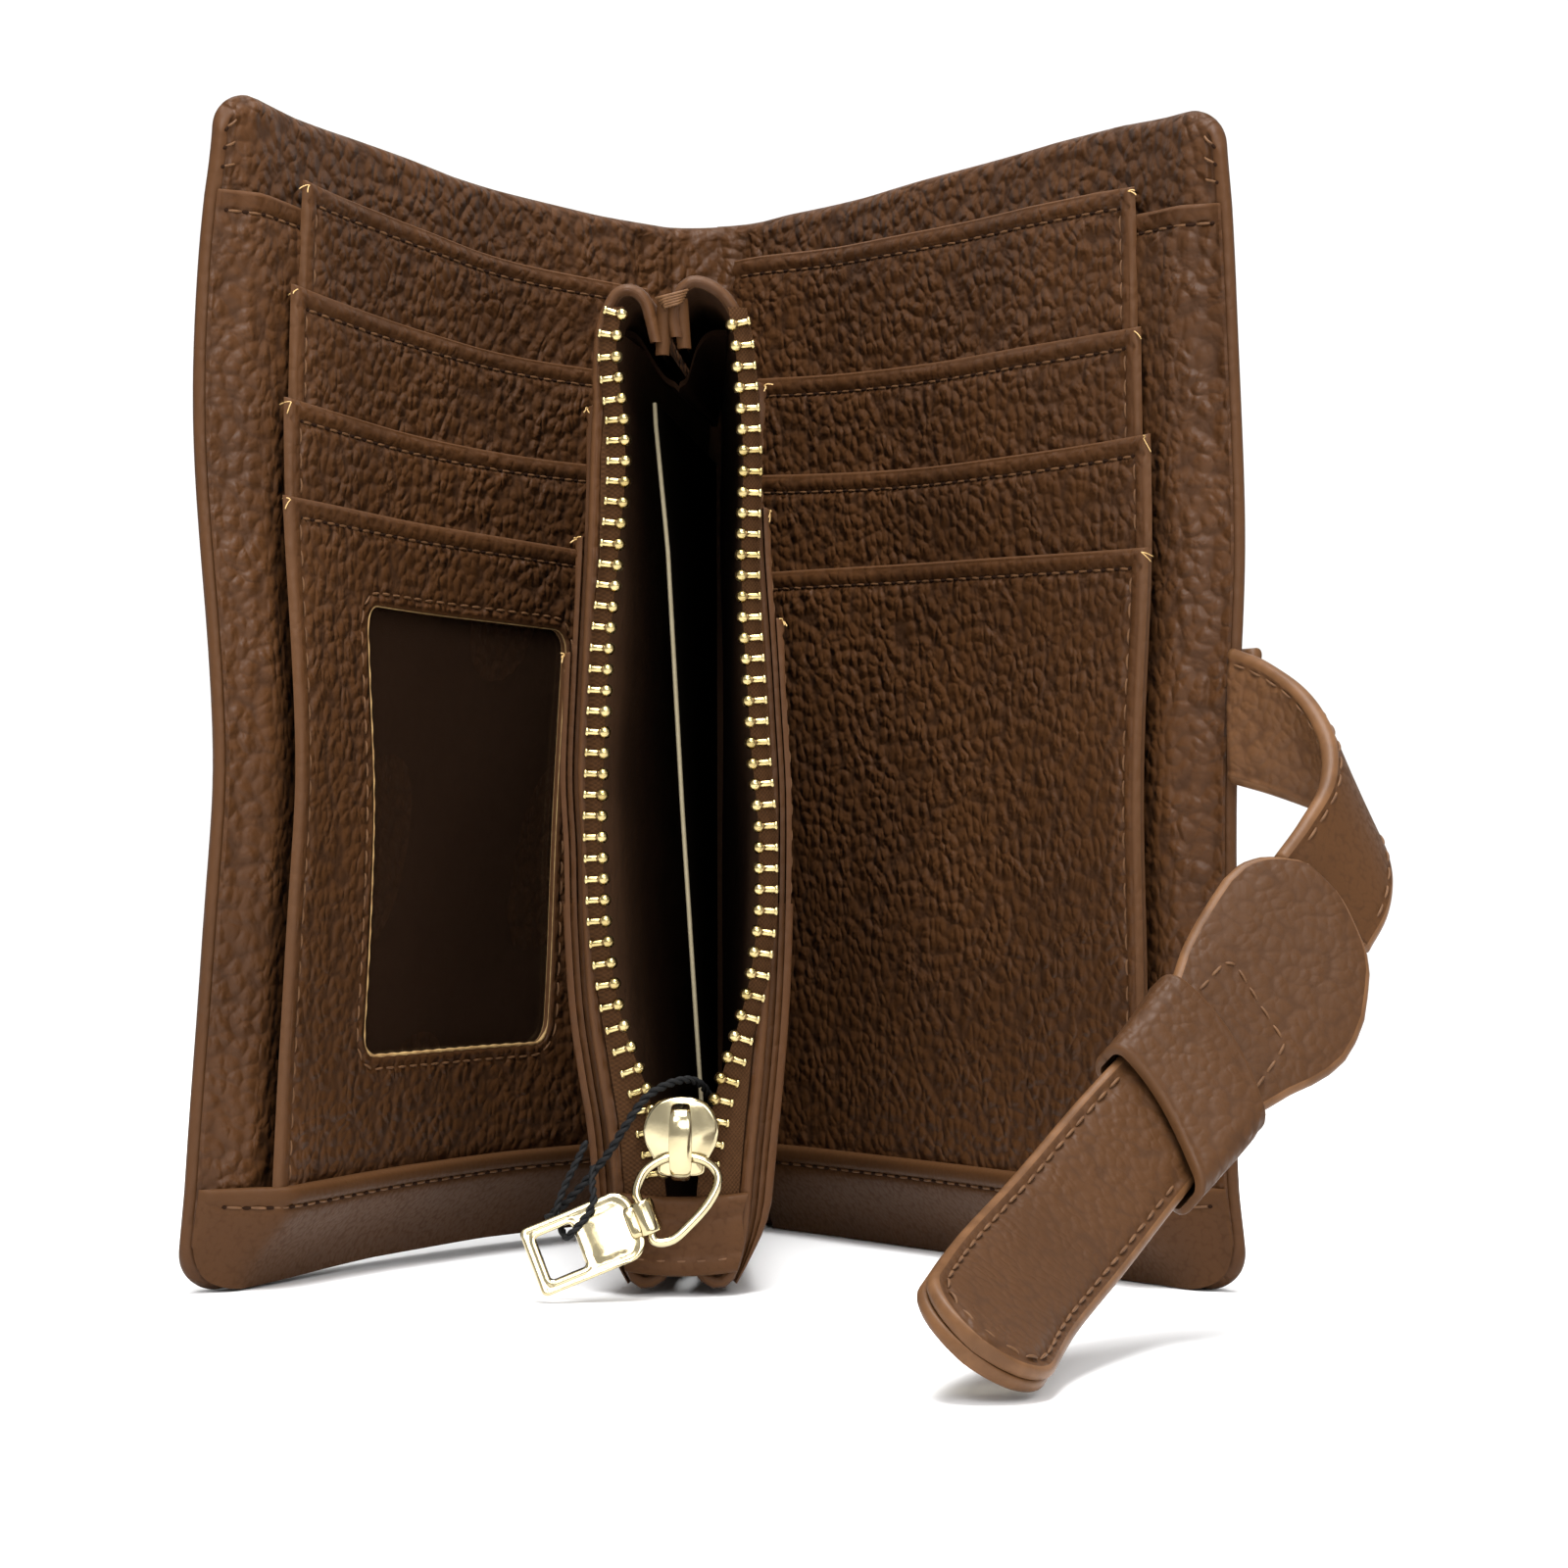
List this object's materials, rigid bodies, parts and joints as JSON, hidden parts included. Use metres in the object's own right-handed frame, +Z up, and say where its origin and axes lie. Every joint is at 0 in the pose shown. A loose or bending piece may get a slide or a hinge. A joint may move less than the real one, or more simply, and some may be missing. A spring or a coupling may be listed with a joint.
{
  "type": "bifold wallet",
  "caption": "Bifold leather wallet with card slots, an ID window, a zipped centre coin pocket and a closing strap.",
  "frame": {"origin": "middle of the spine's thickness at its bottom edge, on the surface that the wallet stands on", "axes": "+Z up along the spine, the open side of the wallet towards -Y, the front cover towards -X"},
  "size_m": [0.1358, 0.1976, 0.14],
  "materials": {
    "pebbled_leather": "pebbled",
    "smooth_leather": "smooth",
    "stiffener_board": "matte",
    "lining_fabric": "woven",
    "zip_tape": "woven",
    "zip_brass": "polished",
    "pale_gold": "polished",
    "magnet_steel": "matte",
    "clear_film": "glossy",
    "black_thread": "matte"
  },
  "bodies": {
    "root": {"spine_outer_leather": "pebbled_leather", "spine_board": "stiffener_board", "spine_lining": "pebbled_leather", "coin_pocket_wall_left": "pebbled_leather", "coin_pocket_wall_right": "pebbled_leather", "coin_pocket_lining_left": "lining_fabric", "coin_pocket_lining_right": "lining_fabric", "coin_divider": "lining_fabric", "coin_pocket_slot_left_1": "pebbled_leather", "coin_pocket_slot_left_2": "pebbled_leather", "coin_pocket_slot_left_3": "pebbled_leather", "coin_pocket_slot_right_1": "pebbled_leather", "coin_pocket_slot_right_2": "pebbled_leather", "coin_pocket_slot_right_3": "pebbled_leather", "coin_pocket_bottom_gusset": "pebbled_leather", "coin_pocket_top_gusset": "pebbled_leather", "zip_end_patch": "pebbled_leather"},
    "front_cover": {"front_cover_outer_leather": "pebbled_leather", "front_cover_board": "stiffener_board", "front_cover_lining": "pebbled_leather", "front_cover_base_pocket": "pebbled_leather", "front_cover_card_slot_1": "pebbled_leather", "front_cover_card_slot_2": "pebbled_leather", "front_cover_card_slot_3": "pebbled_leather", "front_cover_id_window_panel": "pebbled_leather", "id_window_film": "clear_film", "front_cover_bottom_band": "smooth_leather", "snap_plate_front_cover": "magnet_steel"},
    "back_cover": {"back_cover_outer_leather": "pebbled_leather", "back_cover_board": "stiffener_board", "back_cover_lining": "pebbled_leather", "back_cover_base_pocket": "pebbled_leather", "back_cover_card_slot_1": "pebbled_leather", "back_cover_card_slot_2": "pebbled_leather", "back_cover_card_slot_3": "pebbled_leather", "back_cover_slip_pocket_panel": "pebbled_leather", "back_cover_bottom_band": "smooth_leather", "strap_anchor": "pebbled_leather"},
    "mouth_left": {"zip_tape_left": "zip_tape", "zip_teeth_left": "zip_brass"},
    "mouth_right": {"zip_tape_right": "zip_tape", "zip_teeth_right": "zip_brass"},
    "zip_slider": {"zip_slider_body": "pale_gold", "tag_thread": "black_thread"},
    "pull_link": {"zip_pull_link": "pale_gold"},
    "pull_plate": {"zip_pull_plate": "pale_gold"},
    "strap": {"strap_outer_leather": "pebbled_leather", "strap_lining": "smooth_leather"},
    "strap_end": {"strap_pad": "pebbled_leather", "strap_keeper": "pebbled_leather", "tongue_outer_leather": "pebbled_leather", "tongue_inner_leather": "smooth_leather", "snap_plate_tongue": "magnet_steel"}
  },
  "joints": [
    {"name": "front_cover_fold", "type": "hinge", "parent": "root", "child": "front_cover", "pos_m": [-0.0094, -0.0029, 0.07], "axis": [0, 0, -1], "range_deg": [-2, 62]},
    {"name": "back_cover_fold", "type": "hinge", "parent": "root", "child": "back_cover", "pos_m": [0.0094, -0.0029, 0.07], "axis": [0, 0, 1], "range_deg": [-2, 58]},
    {"name": "mouth_left_close", "type": "slide", "parent": "root", "child": "mouth_left", "axis": [1, 0, 0], "range_m": [0, 0.0077], "deforming": ["zip_tape_left", "zip_teeth_left"]},
    {"name": "mouth_right_close", "type": "slide", "parent": "root", "child": "mouth_right", "axis": [-1, 0, 0], "range_m": [0, 0.0077], "deforming": ["zip_tape_right", "zip_teeth_right"]},
    {"name": "zip_slide", "type": "slide", "parent": "root", "child": "zip_slider", "axis": [0, 0, 1], "range_m": [0, 0.088]},
    {"name": "pull_link_swing", "type": "hinge", "parent": "zip_slider", "child": "pull_link", "pos_m": [-0.0026, -0.1018, 0.0164], "axis": [-1, 0, 0], "range_deg": [0, 80]},
    {"name": "pull_plate_swing", "type": "hinge", "parent": "pull_link", "child": "pull_plate", "pos_m": [-0.0066, -0.10345, 0.0098], "axis": [-0.3649, 0.2258, 0.9032], "range_deg": [-6, 60]},
    {"name": "strap_bend", "type": "hinge", "parent": "back_cover", "child": "strap", "pos_m": [0.0622, -0.0965, 0.068], "axis": [0, 0, 1], "range_deg": [0, 80]},
    {"name": "strap_end_bend", "type": "hinge", "parent": "strap", "child": "strap_end", "pos_m": [0.07, -0.1226, 0.0462], "axis": [0.7201, 0.18, -0.6701], "range_deg": [0, 30]}
  ],
  "couplings": [
    {"joint": "mouth_left_close", "follows": "zip_slide", "ratio": 0.0875},
    {"joint": "mouth_right_close", "follows": "zip_slide", "ratio": 0.0875}
  ]
}
